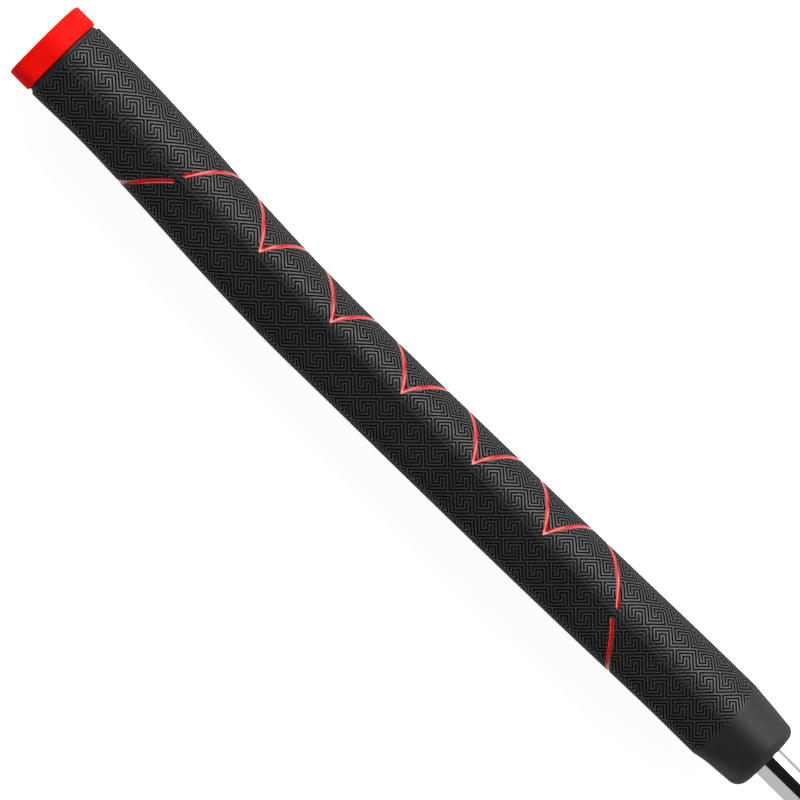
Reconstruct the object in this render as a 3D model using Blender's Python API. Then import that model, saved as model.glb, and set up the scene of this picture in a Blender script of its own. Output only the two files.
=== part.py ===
"""Putter grip on the end of its steel shaft, lying on its side.

The rubber sleeve is bowed like a pistol grip: flat in front for the thumbs, flat at the sides as
far as the mould's parting plane, and sloping to a narrow rounded back. A red cap plugs the butt,
painted lines lie in moulded grooves, and the shaft slides out of the bore with its tape on it.

Units are metres. Every shape is drawn on the shaft's axis: x runs along it, 0 at the grip's mouth
and positive out of the mouth; -y is the flat front, +y the back, and z runs across the parting
plane. One empty then lays the whole part on its side, with its bounding box's bottom centre at
the world's origin.
"""

import math
from bisect import bisect_right

import bmesh
import bpy
from mathutils import Vector
from mathutils.geometry import delaunay_2d_cdt

# Lengths
GRIP_LENGTH = 0.279
SHAFT_STUB = 0.050

# Shaft, tape and bore
SHAFT_RADIUS = 0.0069
SHAFT_WALL = 0.0006
TAPE_GAP = 0.0001
TAPE_THICKNESS = 0.0002
TAPE_MOUTH_GAP = 0.006
BORE_CLEARANCE = 0.0001
BORE_RADIUS = SHAFT_RADIUS + TAPE_GAP + TAPE_THICKNESS + BORE_CLEARANCE

# Rubber over the bore: at the sides, and at the front and back by share of the length from the butt
SIDE_WALL = 0.0047
OUTLINE = (
    (0.030, 0.0050, 0.0055),
    (0.100, 0.0047, 0.0055),
    (0.188, 0.0057, 0.0045),
    (0.266, 0.0069, 0.0032),
    (0.354, 0.0077, 0.0023),
    (0.450, 0.0075, 0.0023),
    (0.627, 0.0069, 0.0031),
    (0.774, 0.0061, 0.0039),
    (0.872, 0.0053, 0.0045),
    (0.945, 0.0051, 0.0048),
)
HALF_WIDTH = BORE_RADIUS + SIDE_WALL

# Cross-section: a flat front with rounded corners, and a back of two arcs that meet at BACK_TURN
SEAM_SLOPE = math.radians(5.0)
BACK_TURN = math.radians(45.0)
FRONT_RADIUS = 0.0046
RIDGE_RADIUS = 0.0030
RIDGE_Z = HALF_WIDTH - RIDGE_RADIUS
SEAM_Z = RIDGE_Z + RIDGE_RADIUS * math.cos(SEAM_SLOPE)
RIDGE_STEPS = 1
SIDE_STEPS = 4
FRONT_CORNER_STEPS = 5
FRONT_STEPS = 2
BACK_SHOULDER_STEPS = 6
BACK_PALM_STEPS = 6
QUARTER = BACK_SHOULDER_STEPS + BACK_PALM_STEPS
RING = 4 * QUARTER

# Sleeve
BODY_STATIONS = 34
SHOULDER_RADIUS = 0.0008
SHOULDER_STEPS = 3
COLLAR_LENGTH = 0.0154
COLLAR_STATIONS = 5
MOUTH_WALL = 0.0039
MOUTH_RADIUS = BORE_RADIUS + MOUTH_WALL
MOUTH_OFFSET = -0.0004
NOSE_LAND = 0.0002
NOSE_RADIUS = min(0.0034, MOUTH_WALL - NOSE_LAND)
NOSE_STEPS = 5

# End cap
CAP_THICKNESS = 0.0072
CAP_EDGE_RADIUS = 0.0008
CAP_EDGE_STEPS = 3
NECK_LENGTH = 0.0007
NECK_INSET = 0.0007
SPIGOT_LENGTH = 0.0050
VENT_RADIUS = 0.0010

# Gap between pieces that touch on the real part
TOUCH = 0.0003

# Painted lines
LINE_WIDTH = 0.0012
PAINT_DEPTH = 0.0002
PAINT_THICKNESS = 0.0004
GROOVE_OVERCUT = 0.0008
LINE_STEP = 0.0026
SEAM_GAP = 0.0013
FRONT_LINE_BUTT = 0.190
FRONT_LINE_MOUTH = 0.7925
FRONT_LINE_BUTT_BOW = 0.0135
FRONT_LINE_MOUTH_BOW = 0.0117
FRONT_LINE_POWER = 1.7
FRONT_LINE_POINTS = 24

# Lattice, by share of the length: its ends at the seams, its corners, and how far before and
# after each corner its arms come to the middle of the back
LATTICE_BUTT = 0.1925
LATTICE_FIRST = 0.2971
LATTICE_LAST = 0.6875
LATTICE_MOUTH = 0.7900
LATTICE_CORNERS = 5
LATTICE_RISE = 0.0394
LATTICE_FALL = 0.0323
LATTICE_FIRST_FALL = 0.0412
LATTICE_LAST_RISE = 0.0523
LATTICE_VERTEX = 0.0021

BUTT_X = -GRIP_LENGTH
CAP_INNER_X = BUTT_X + CAP_THICKNESS
BODY_START_X = CAP_INNER_X + TOUCH
SHOULDER_X = BODY_START_X + NECK_LENGTH
COLLAR_X = -COLLAR_LENGTH
SPIGOT_END_X = CAP_INNER_X + SPIGOT_LENGTH
SHAFT_START_X = SPIGOT_END_X + TOUCH


def clear_scene():
    for thing in list(bpy.data.objects):
        bpy.data.objects.remove(thing, do_unlink=True)


def material(name, colour, roughness, metallic=0.0):
    made = bpy.data.materials.new(name)
    made.use_nodes = True
    shader = made.node_tree.nodes["Principled BSDF"]
    shader.inputs["Base Color"].default_value = (*colour, 1.0)
    shader.inputs["Roughness"].default_value = roughness
    shader.inputs["Metallic"].default_value = metallic
    return made


def smooth_value(column, share):
    """The wall in the outline's column at a share of the length, on a cubic through its points."""
    shares = [row[0] for row in OUTLINE]
    values = [row[column] for row in OUTLINE]
    if share <= shares[0]:
        return values[0]
    if share >= shares[-1]:
        return values[-1]

    def slope(i):
        low = max(i - 1, 0)
        high = min(i + 1, len(shares) - 1)
        return (values[high] - values[low]) / (shares[high] - shares[low])

    i = bisect_right(shares, share) - 1
    span = shares[i + 1] - shares[i]
    u = (share - shares[i]) / span
    start = (1 + 2 * u) * (1 - u) ** 2 * values[i] + u * (1 - u) ** 2 * span * slope(i)
    end = u * u * (3 - 2 * u) * values[i + 1] + u * u * (u - 1) * span * slope(i + 1)
    return start + end


def share_to_x(share):
    return BUTT_X + share * GRIP_LENGTH


def front_at(x):
    return BORE_RADIUS + smooth_value(1, (x - BUTT_X) / GRIP_LENGTH)


def back_at(x):
    return BORE_RADIUS + smooth_value(2, (x - BUTT_X) / GRIP_LENGTH)


def arc(centre, radius, start, end, steps):
    """Points after start up to end, where angle 0 points at +z and a right angle at +y."""
    points = []
    for i in range(1, steps + 1):
        angle = start + (end - start) * i / steps
        points.append((centre[0] + radius * math.sin(angle), centre[1] + radius * math.cos(angle)))
    return points


def straight(start, end, steps):
    return [
        (
            start[0] + (end[0] - start[0]) * i / steps,
            start[1] + (end[1] - start[1]) * i / steps,
        )
        for i in range(1, steps + 1)
    ]


def back_radii(x):
    """Radii of the two arcs from the seam to the middle of the back at x."""
    a = math.sin(BACK_TURN) - math.sin(SEAM_SLOPE)
    b = 1 - math.sin(BACK_TURN)
    c = math.cos(SEAM_SLOPE) - math.cos(BACK_TURN)
    d = math.cos(BACK_TURN)
    over = a * d - b * c
    return (back_at(x) * d - SEAM_Z * b) / over, (SEAM_Z * a - back_at(x) * c) / over


def back_quarter(x, inset=0.0):
    """From the upper seam to the middle of the back."""
    shoulder, palm = back_radii(x)
    shoulder_centre = (-shoulder * math.sin(SEAM_SLOPE), SEAM_Z - shoulder * math.cos(SEAM_SLOPE))
    palm_centre = (back_at(x) - palm, 0.0)
    points = arc(shoulder_centre, shoulder - inset, SEAM_SLOPE, SEAM_SLOPE, 1)
    points += arc(shoulder_centre, shoulder - inset, SEAM_SLOPE, BACK_TURN, BACK_SHOULDER_STEPS)
    return points + arc(palm_centre, palm - inset, BACK_TURN, math.pi / 2, BACK_PALM_STEPS)


def front_quarter(x, inset=0.0):
    """From the upper seam to the middle of the flat front."""
    front = front_at(x)
    ridge = (-RIDGE_RADIUS * math.sin(SEAM_SLOPE), RIDGE_Z)
    corner = (FRONT_RADIUS - front, HALF_WIDTH - FRONT_RADIUS)
    points = arc(ridge, RIDGE_RADIUS - inset, SEAM_SLOPE, SEAM_SLOPE, 1)
    points += arc(ridge, RIDGE_RADIUS - inset, SEAM_SLOPE, 0.0, RIDGE_STEPS)
    side_z = HALF_WIDTH - inset
    points += straight((ridge[0], side_z), (corner[0], side_z), SIDE_STEPS)
    points += arc(corner, FRONT_RADIUS - inset, 0.0, -math.pi / 2, FRONT_CORNER_STEPS)
    return points + straight((inset - front, corner[1]), (inset - front, 0.0), FRONT_STEPS)


def section(x, inset=0.0):
    """The sleeve's outline at x as RING points, from the upper seam over the back and round."""
    back = back_quarter(x, inset)
    front = front_quarter(x, inset)
    lower_back = [(y, -z) for y, z in reversed(back[:-1])]
    lower_front = [(y, -z) for y, z in front[1:]]
    upper_front = list(reversed(front[1:-1]))
    return back + lower_back + lower_front + upper_front


def circle(radius, offset=0.0):
    step = 2 * math.pi / RING
    return [(offset + radius * math.sin(i * step), radius * math.cos(i * step)) for i in range(RING)]


def blend(outline, target, share):
    return [
        (a[0] + (b[0] - a[0]) * share, a[1] + (b[1] - a[1]) * share)
        for a, b in zip(outline, target, strict=True)
    ]


def ring_at(x, outline):
    return [(x, y, z) for y, z in outline]


def sleeve_outline(x):
    """The sleeve's outline at x, which turns round towards the mouth along the collar."""
    if x <= COLLAR_X:
        return section(x)
    share = (x - COLLAR_X) / (COLLAR_LENGTH - NOSE_RADIUS)
    return blend(section(COLLAR_X), circle(MOUTH_RADIUS, MOUTH_OFFSET), min(share, 1.0))


def closed_loop(name, rings, finish):
    """One object from rings of equal counts, each joined to the next and the last to the first."""
    mesh = bpy.data.meshes.new(name)
    work = bmesh.new()
    loops = [[work.verts.new(point) for point in ring] for ring in rings]
    for ring, following in zip(loops, loops[1:] + loops[:1], strict=True):
        for i in range(len(ring)):
            j = (i + 1) % len(ring)
            work.faces.new((ring[i], following[i], following[j], ring[j]))
    bmesh.ops.recalc_face_normals(work, faces=work.faces)
    work.to_mesh(mesh)
    work.free()
    return add_object(name, mesh, finish)


def add_object(name, mesh, finish):
    made = bpy.data.objects.new(name, mesh)
    bpy.context.scene.collection.objects.link(made)
    made.data.materials.append(finish)
    mesh.shade_smooth()
    mesh.set_sharp_from_angle(angle=math.radians(32.0))
    return made


def tube(name, start, end, outer, inner, finish):
    rings = [
        ring_at(start, circle(outer)),
        ring_at(end, circle(outer)),
        ring_at(end, circle(inner)),
        ring_at(start, circle(inner)),
    ]
    return closed_loop(name, rings, finish)


def sleeve(finish):
    """The rubber sleeve, before its grooves are cut: neck, shoulder, body, collar and bore."""
    rings = [ring_at(BODY_START_X, section(SHOULDER_X, NECK_INSET))]
    rings.append(ring_at(SHOULDER_X, section(SHOULDER_X, SHOULDER_RADIUS)))
    for i in range(1, SHOULDER_STEPS + 1):
        angle = math.pi / 2 * i / SHOULDER_STEPS
        x = SHOULDER_X + SHOULDER_RADIUS * (1 - math.cos(angle))
        rings.append(ring_at(x, section(x, SHOULDER_RADIUS * (1 - math.sin(angle)))))
    body_x = SHOULDER_X + SHOULDER_RADIUS
    for i in range(1, BODY_STATIONS + 1):
        x = body_x + (COLLAR_X - body_x) * i / BODY_STATIONS
        rings.append(ring_at(x, sleeve_outline(x)))
    for i in range(1, COLLAR_STATIONS + 1):
        x = COLLAR_X + (COLLAR_LENGTH - NOSE_RADIUS) * i / COLLAR_STATIONS
        rings.append(ring_at(x, sleeve_outline(x)))
    for i in range(1, NOSE_STEPS + 1):
        angle = math.pi / 2 * i / NOSE_STEPS
        radius = MOUTH_RADIUS - NOSE_RADIUS * (1 - math.cos(angle))
        centre = MOUTH_OFFSET * (1 - i / NOSE_STEPS)
        rings.append(ring_at(-NOSE_RADIUS * (1 - math.sin(angle)), circle(radius, centre)))
    rings.append(ring_at(0.0, circle(BORE_RADIUS)))
    rings.append(ring_at(BODY_START_X, circle(BORE_RADIUS)))
    return closed_loop("grip_body", rings, finish)


def end_cap(finish):
    """The cap's disc, its spigot in the bore, and the vent hole through both."""
    rings = [ring_at(BUTT_X, circle(VENT_RADIUS))]
    for i in range(CAP_EDGE_STEPS + 1):
        angle = math.pi / 2 * i / CAP_EDGE_STEPS
        x = BUTT_X + CAP_EDGE_RADIUS * (1 - math.cos(angle))
        rings.append(ring_at(x, section(BUTT_X, CAP_EDGE_RADIUS * (1 - math.sin(angle)))))
    for i in range(CAP_EDGE_STEPS + 1):
        angle = math.pi / 2 * i / CAP_EDGE_STEPS
        x = CAP_INNER_X - CAP_EDGE_RADIUS * (1 - math.sin(angle))
        rings.append(ring_at(x, section(BUTT_X, CAP_EDGE_RADIUS * (1 - math.cos(angle)))))
    rings.append(ring_at(CAP_INNER_X, circle(BORE_RADIUS - TOUCH)))
    rings.append(ring_at(SPIGOT_END_X, circle(BORE_RADIUS - TOUCH)))
    rings.append(ring_at(SPIGOT_END_X, circle(VENT_RADIUS)))
    return closed_loop("end_cap", rings, finish)


def path_lengths(points):
    """Distance along a line of points, from its first to each."""
    total = [0.0]
    for a, b in zip(points, points[1:], strict=False):
        total.append(total[-1] + math.dist(a, b))
    return total


def quarter_at(x, back_side):
    """The upper quarter outline at x, from the seam to the middle of the back or of the front."""
    return back_quarter(x) if back_side else front_quarter(x)


def surface_point(x, across, back_side, depth):
    """A point depth under the sleeve, across metres round it from the middle of one side.

    The middle is that of the back or of the front, and across is positive towards the upper seam.
    """
    points = list(reversed(quarter_at(x, back_side)))
    lengths = path_lengths(points)
    distance = min(abs(across), lengths[-1])
    i = min(bisect_right(lengths, distance), len(lengths) - 1)
    a = Vector(points[i - 1])
    b = Vector(points[i])
    along = (b - a).normalized()
    place = a + along * (distance - lengths[i - 1])
    outward = Vector((along[1], -along[0])) if back_side else Vector((-along[1], along[0]))
    place -= outward * depth
    if across < 0:
        place[1] = -place[1]
    return (x, place[0], place[1])


def side_length(x, back_side):
    """Distance round the sleeve at x, from the middle of the back or front to the seam."""
    return path_lengths(quarter_at(x, back_side))[-1]


def ribbon_quads(line, width):
    """Four-cornered pieces that cover a line of points to a width, mitred where it turns."""
    half = width / 2
    left = []
    right = []
    for i, point in enumerate(line):
        before = (point - line[i - 1]).normalized() if i else (line[1] - point).normalized()
        after = (line[i + 1] - point).normalized() if i + 1 < len(line) else before
        normal = Vector((-before[1] - after[1], before[0] + after[0])).normalized()
        reach = half / normal.dot(Vector((-before[1], before[0])))
        left.append(point + normal * reach)
        right.append(point - normal * reach)
    return [(left[i], right[i], right[i + 1], left[i + 1]) for i in range(len(line) - 1)]


def flat_union(lines, width):
    """Points and triangles of the joined outline of several ribbons on the rolled-out surface."""
    corners = []
    faces = []
    for line in lines:
        for quad in ribbon_quads(line, width):
            faces.append(tuple(range(len(corners), len(corners) + 4)))
            corners.extend(quad)
    made = delaunay_2d_cdt(corners, [], faces, 1, 1e-7)
    points = made[0]
    triangles = [face for face, source in zip(made[2], made[5], strict=True) if source]
    return points, triangles


def inlaid(name, lines, width, back_side, top, bottom, finish):
    """A closed solid that follows lines on the sleeve, between two depths under its surface."""
    points, triangles = flat_union(lines, width)
    work = bmesh.new()
    layers = []
    for depth in (top, bottom):
        layers.append([work.verts.new(surface_point(p[0], p[1], back_side, depth)) for p in points])
    borders = {}
    for triangle in triangles:
        work.faces.new([layers[0][i] for i in triangle])
        work.faces.new([layers[1][i] for i in reversed(triangle)])
        for a, b in zip(triangle, (*triangle[1:], triangle[0]), strict=True):
            key = (min(a, b), max(a, b))
            borders[key] = None if key in borders else (a, b)
    for edge in borders.values():
        if edge:
            a, b = edge
            work.faces.new((layers[0][b], layers[0][a], layers[1][a], layers[1][b]))
    bmesh.ops.delete(work, geom=[v for v in work.verts if not v.link_faces], context="VERTS")
    bmesh.ops.recalc_face_normals(work, faces=work.faces)
    mesh = bpy.data.meshes.new(name)
    work.to_mesh(mesh)
    work.free()
    return add_object(name, mesh, finish)


def subdivided(knots):
    """Points along straight runs between knots, no further apart than LINE_STEP."""
    line = [knots[0]]
    for a, b in zip(knots, knots[1:], strict=False):
        steps = max(1, round((b - a).length / LINE_STEP))
        line.extend(a + (b - a) * i / steps for i in range(1, steps + 1))
    return line


def front_line(seam_share, bow):
    """A line over the front, from seam to seam, that bows along the grip in the middle."""
    seam_x = share_to_x(seam_share)
    reach = side_length(seam_x, False) - SEAM_GAP
    line = []
    for i in range(FRONT_LINE_POINTS + 1):
        across = reach * (2 * i / FRONT_LINE_POINTS - 1)
        off_seam = 1 - (abs(across) / reach) ** FRONT_LINE_POWER
        line.append(Vector((seam_x + bow * off_seam, across)))
    return line


def lattice_lines():
    """Two zigzags over the back that mirror each other and meet along its middle line."""
    pitch = (LATTICE_LAST - LATTICE_FIRST) / (LATTICE_CORNERS - 1)
    side = 1
    start = share_to_x(LATTICE_BUTT)
    knots = [Vector((start, side_length(start, True) - SEAM_GAP))]
    knots.append(Vector((share_to_x(LATTICE_BUTT + LATTICE_FIRST_FALL), 0.0)))
    for i in range(LATTICE_CORNERS):
        side = -side
        share = LATTICE_FIRST + pitch * i
        x = share_to_x(share)
        knots.append(Vector((share_to_x(share - LATTICE_RISE), 0.0)))
        knots.append(Vector((x, side * (side_length(x, True) - LATTICE_VERTEX))))
        knots.append(Vector((share_to_x(share + LATTICE_FALL), 0.0)))
    end = share_to_x(LATTICE_MOUTH)
    knots.append(Vector((share_to_x(LATTICE_MOUTH - LATTICE_LAST_RISE), 0.0)))
    knots.append(Vector((end, side * (SEAM_GAP - side_length(end, True)))))
    mirrored = [Vector((knot[0], -knot[1])) for knot in knots]
    return [subdivided(knots), subdivided(mirrored)]


def painted_line(name, lines, back_side, body, finish):
    """A painted line's solid, and the groove that holds it cut into the sleeve."""
    bottom = PAINT_DEPTH + PAINT_THICKNESS
    line = inlaid(name, lines, LINE_WIDTH, back_side, PAINT_DEPTH, bottom, finish)
    groove_width = LINE_WIDTH + 2 * TOUCH
    groove_name = name + "_groove_cutter"
    floor = bottom + TOUCH
    cutter = inlaid(groove_name, lines, groove_width, back_side, -GROOVE_OVERCUT, floor, finish)
    cutter.hide_render = True
    cutter.display_type = "WIRE"
    cut = body.modifiers.new(name + "_groove", "BOOLEAN")
    cut.operation = "DIFFERENCE"
    cut.solver = "MANIFOLD"
    cut.object = cutter
    return [line, cutter]


def lay_on_side(pieces):
    """Parents every piece to one empty that puts the part's bottom centre at the origin."""
    steps = 400
    stations = [SHOULDER_X + (COLLAR_X - SHOULDER_X) * i / steps for i in range(steps + 1)]
    front = max(front_at(x) for x in stations)
    back = max(back_at(x) for x in stations)
    place = bpy.data.objects.new("shaft_axis_at_the_mouth", None)
    bpy.context.scene.collection.objects.link(place)
    place.location = ((GRIP_LENGTH - SHAFT_STUB) / 2, (front - back) / 2, HALF_WIDTH)
    for piece in pieces:
        piece.parent = place


def build():
    clear_scene()
    rubber = material("black_rubber", (0.012, 0.012, 0.012), 0.6)
    red_rubber = material("red_cap_rubber", (0.75, 0.012, 0.006), 0.45)
    paint = material("red_paint", (0.62, 0.006, 0.004), 0.25)
    steel = material("chromed_steel", (0.75, 0.76, 0.78), 0.08, 1.0)
    tape_finish = material("grip_tape", (0.62, 0.55, 0.42), 0.7)

    body = sleeve(rubber)
    pieces = [body, end_cap(red_rubber)]
    pieces.append(
        tube(
            "shaft",
            SHAFT_START_X,
            SHAFT_STUB,
            SHAFT_RADIUS,
            SHAFT_RADIUS - SHAFT_WALL,
            steel,
        )
    )
    tape_radius = SHAFT_RADIUS + TAPE_GAP
    pieces.append(
        tube(
            "grip_tape",
            SHAFT_START_X,
            -TAPE_MOUTH_GAP,
            tape_radius + TAPE_THICKNESS,
            tape_radius,
            tape_finish,
        )
    )
    butt_line = [front_line(FRONT_LINE_BUTT, -FRONT_LINE_BUTT_BOW)]
    mouth_line = [front_line(FRONT_LINE_MOUTH, FRONT_LINE_MOUTH_BOW)]
    pieces += painted_line("front_line_butt", butt_line, False, body, paint)
    pieces += painted_line("front_line_mouth", mouth_line, False, body, paint)
    pieces += painted_line("back_lattice", lattice_lines(), True, body, paint)
    lay_on_side(pieces)


build()
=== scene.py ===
import math

import bmesh
import bpy
import numpy as np
from mathutils import Matrix, Vector


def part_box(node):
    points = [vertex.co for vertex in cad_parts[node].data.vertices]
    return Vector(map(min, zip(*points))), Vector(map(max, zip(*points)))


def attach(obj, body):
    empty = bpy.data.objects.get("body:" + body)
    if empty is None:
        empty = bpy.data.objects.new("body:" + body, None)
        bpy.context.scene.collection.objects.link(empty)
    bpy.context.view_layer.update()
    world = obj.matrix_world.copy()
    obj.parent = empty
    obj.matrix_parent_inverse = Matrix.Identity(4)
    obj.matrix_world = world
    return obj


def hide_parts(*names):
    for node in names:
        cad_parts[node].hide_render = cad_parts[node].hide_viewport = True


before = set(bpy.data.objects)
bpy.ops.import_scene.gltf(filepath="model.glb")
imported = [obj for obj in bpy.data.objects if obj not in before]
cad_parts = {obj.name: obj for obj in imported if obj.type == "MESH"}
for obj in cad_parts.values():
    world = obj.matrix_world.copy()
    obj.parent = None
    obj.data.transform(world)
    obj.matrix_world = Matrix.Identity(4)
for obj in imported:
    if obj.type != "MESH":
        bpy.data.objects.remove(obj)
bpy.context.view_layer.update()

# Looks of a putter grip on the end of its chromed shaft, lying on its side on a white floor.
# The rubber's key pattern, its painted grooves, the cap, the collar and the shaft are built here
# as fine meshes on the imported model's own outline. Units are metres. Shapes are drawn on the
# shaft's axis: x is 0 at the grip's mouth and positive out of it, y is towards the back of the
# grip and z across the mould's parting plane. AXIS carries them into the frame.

# Where the CAD stands
BODY_LOW, BODY_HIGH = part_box("grip_body")
CAP_LOW, CAP_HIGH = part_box("end_cap")
SHAFT_LOW, SHAFT_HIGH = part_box("shaft")
TAPE_LOW, TAPE_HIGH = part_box("grip_tape")
AXIS = Vector((BODY_HIGH.x, (SHAFT_LOW.y + SHAFT_HIGH.y) / 2, (SHAFT_LOW.z + SHAFT_HIGH.z) / 2))

# Sizes of the CAD outline
GRIP_LENGTH = BODY_HIGH.x - CAP_LOW.x
SHAFT_RADIUS = (SHAFT_HIGH.z - SHAFT_LOW.z) / 2
SHAFT_WALL = 0.0006
SHAFT_BEVEL = 0.00015
TAPE_RADIUS = (TAPE_HIGH.z - TAPE_LOW.z) / 2
TAPE_THICKNESS = 0.0002
TAPE_PITCH = 0.0240
TAPE_LAP = 0.00009
BORE_CLEARANCE = 0.0001
BORE_RADIUS = TAPE_RADIUS + BORE_CLEARANCE
HALF_WIDTH = (BODY_HIGH.z - BODY_LOW.z) / 2
OUTLINE = (
    (0.030, 0.0050, 0.0055),
    (0.100, 0.0047, 0.0055),
    (0.188, 0.0057, 0.0045),
    (0.266, 0.0069, 0.0032),
    (0.354, 0.0077, 0.0023),
    (0.450, 0.0075, 0.0023),
    (0.627, 0.0069, 0.0031),
    (0.774, 0.0061, 0.0039),
    (0.872, 0.0053, 0.0045),
    (0.945, 0.0051, 0.0048),
)
SEAM_SLOPE = math.radians(5.0)
BACK_TURN = math.radians(45.0)
FRONT_RADIUS = 0.0046
RIDGE_RADIUS = 0.0030
RIDGE_Z = HALF_WIDTH - RIDGE_RADIUS
SEAM_Z = RIDGE_Z + RIDGE_RADIUS * math.cos(SEAM_SLOPE)
COLLAR_LENGTH = 0.0154
COLLAR_BOW = 0.0018
MOUTH_WALL = 0.0039
MOUTH_RADIUS = BORE_RADIUS + MOUTH_WALL
MOUTH_OFFSET = -0.0004
NOSE_RADIUS = 0.0034
SPIGOT_LENGTH = 0.0050
SPIGOT_CHAMFER = 0.0004
CAP_THICKNESS = CAP_HIGH.x - CAP_LOW.x - SPIGOT_LENGTH
CAP_EDGE_RADIUS = 0.0008
CAP_EDGE_STEPS = 8
DISH_RADIUS = 0.0058
DISH_DEPTH = 0.00035
VENT_RADIUS = 0.0010
TOUCH = 0.0003
NECK_LENGTH = 0.0007
NECK_INSET = 0.0007
SHOULDER_RADIUS = 0.0008
SHOULDER_STEPS = 8
CORE_STATIONS = 90
COLLAR_STEPS = 14
NOSE_STEPS = 12
RING_QUARTER = 32
FINE_STATIONS = 420

BUTT_X = -GRIP_LENGTH
CAP_INNER_X = BUTT_X + CAP_THICKNESS
BODY_START_X = CAP_INNER_X + TOUCH
SHOULDER_X = BODY_START_X + NECK_LENGTH
TEXTURE_START_X = SHOULDER_X + SHOULDER_RADIUS
COLLAR_X = -COLLAR_LENGTH

# Painted lines
LINE_WIDTH = 0.0012
SEAM_GAP = 0.0013
FRONT_LINE_BUTT = 0.190
FRONT_LINE_MOUTH = 0.7925
FRONT_LINE_BUTT_BOW = 0.0135
FRONT_LINE_MOUTH_BOW = 0.0117
FRONT_LINE_POWER = 1.7
FRONT_LINE_POINTS = 24
FRONT_PAINT_POINTS = 72
LATTICE_BUTT = 0.1925
LATTICE_FIRST = 0.2971
LATTICE_LAST = 0.6875
LATTICE_MOUTH = 0.7900
LATTICE_CORNERS = 5
LATTICE_RISE = 0.0394
LATTICE_FALL = 0.0323
LATTICE_FIRST_FALL = 0.0412
LATTICE_LAST_RISE = 0.0523
LATTICE_VERTEX = 0.0021
PAINT_EDGE_DEPTH = 0.00006
PAINT_HOLLOW = 0.00022
PAINT_BOTTOM = 0.00070
GROOVE_DEPTH = 0.00075
PAINT_CLEARANCE = 0.00002
PAINT_STEP = 0.0006
PAINT_COLUMNS = 8

# Key pattern: a square cell of KEY lines each way, laid corner to corner along the grip
KEY = 7
KEY_PATH = (
    (0, 6), (5, 6), (5, 9), (3, 9), (3, 10), (6, 10), (6, 5),
    (1, 5), (1, 0), (4, 0), (4, 1), (2, 1), (2, 4), (7, 4),
)
CELL_BUTT = 0.00954
CELL_SHRINK = (0.0317, 0.0440)
CELL_ACROSS_FRONT = 0.0090
CELL_ACROSS_BACK = 0.0092
CELL_START_X = -0.26745
CELL_SPAN = 0.25206
PHASE_ALONG = -0.036
PHASE_FRONT = 0.03
PHASE_BACK = -0.13
TOP_WIDTH = 0.46
FLOOR_WIDTH = 0.34
RELIEF = 0.00026
SEAM_FADE_FRONT = (0.0004, 0.0013)
SEAM_FADE_BACK = (0.0010, 0.0030)
END_FADE = 0.0006
SEAM_DIP = 0.00004
UNDER_SKIN = 0.00072
SHEET_MARGIN = 0.0022

# View
VIEW_TILT = math.radians(4.9)
VIEW_ROLL = 0.0023
VIEW_DISTANCE = 2.70
VIEW_WIDTH = 0.2175
VIEW_X = -0.14055
VIEW_Y = -0.00125

# Light, as the strength of the surroundings
AROUND = 0.55
OVERHEAD = 0.02
PANEL = 8.5
PANEL_LEAN = 50.0
PANEL_INNER = 8.0
PANEL_OUTER = 28.0
FLOOR_GLOW = 0.8
FLOOR_HALF = 3.0
GAP_INNER = 32.0
GAP_OUTER = 34.0
SPREAD_ALONG = 0.45


def smoothstep(value):
    value = np.clip(value, 0.0, 1.0)
    return value * value * (3.0 - 2.0 * value)


# ---------------------------------------------------------------- outline of the sleeve

def wall_at(x, column):
    """Rubber over the bore at x, from the outline's column, on a cubic through its points."""
    shares = np.array([row[0] for row in OUTLINE])
    values = np.array([row[column] for row in OUTLINE])
    slopes = np.gradient(values, shares)
    inner = (values[2:] - values[:-2]) / (shares[2:] - shares[:-2])
    slopes[1:-1] = inner
    share = np.clip((np.asarray(x) - BUTT_X) / GRIP_LENGTH, shares[0], shares[-1])
    i = np.clip(np.searchsorted(shares, share, side="right") - 1, 0, len(shares) - 2)
    span = shares[i + 1] - shares[i]
    u = (share - shares[i]) / span
    start = (1 + 2 * u) * (1 - u) ** 2 * values[i] + u * (1 - u) ** 2 * span * slopes[i]
    end = u * u * (3 - 2 * u) * values[i + 1] + u * u * (u - 1) * span * slopes[i + 1]
    return start + end


def reach_at(x, back_side):
    return BORE_RADIUS + wall_at(x, 2 if back_side else 1)


def back_arcs(x):
    """Radii of the two arcs from the seam to the middle of the back at x."""
    a = math.sin(BACK_TURN) - math.sin(SEAM_SLOPE)
    b = 1 - math.sin(BACK_TURN)
    c = math.cos(SEAM_SLOPE) - math.cos(BACK_TURN)
    d = math.cos(BACK_TURN)
    over = a * d - b * c
    back = reach_at(x, True)
    return (back * d - SEAM_Z * b) / over, (SEAM_Z * a - back * c) / over


def quarter_at(x, back_side):
    """Distance round the sleeve at x from the seam to the middle of the back or front."""
    if back_side:
        shoulder, palm = back_arcs(x)
        return shoulder * (BACK_TURN - SEAM_SLOPE) + palm * (math.pi / 2 - BACK_TURN)
    side = reach_at(x, False) - FRONT_RADIUS - RIDGE_RADIUS * math.sin(SEAM_SLOPE)
    return RIDGE_RADIUS * SEAM_SLOPE + side + FRONT_RADIUS * math.pi / 2 + HALF_WIDTH - FRONT_RADIUS


def back_points(x, v):
    shoulder, palm = back_arcs(x)
    first = shoulder * (BACK_TURN - SEAM_SLOPE)
    near = v < first
    angle = np.where(near, SEAM_SLOPE + v / shoulder, BACK_TURN + (v - first) / palm)
    radius = np.where(near, shoulder, palm)
    centre_y = np.where(near, -shoulder * math.sin(SEAM_SLOPE), reach_at(x, True) - palm)
    centre_z = np.where(near, SEAM_Z - shoulder * math.cos(SEAM_SLOPE), 0.0)
    return centre_y + radius * np.sin(angle), centre_z + radius * np.cos(angle), angle


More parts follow.
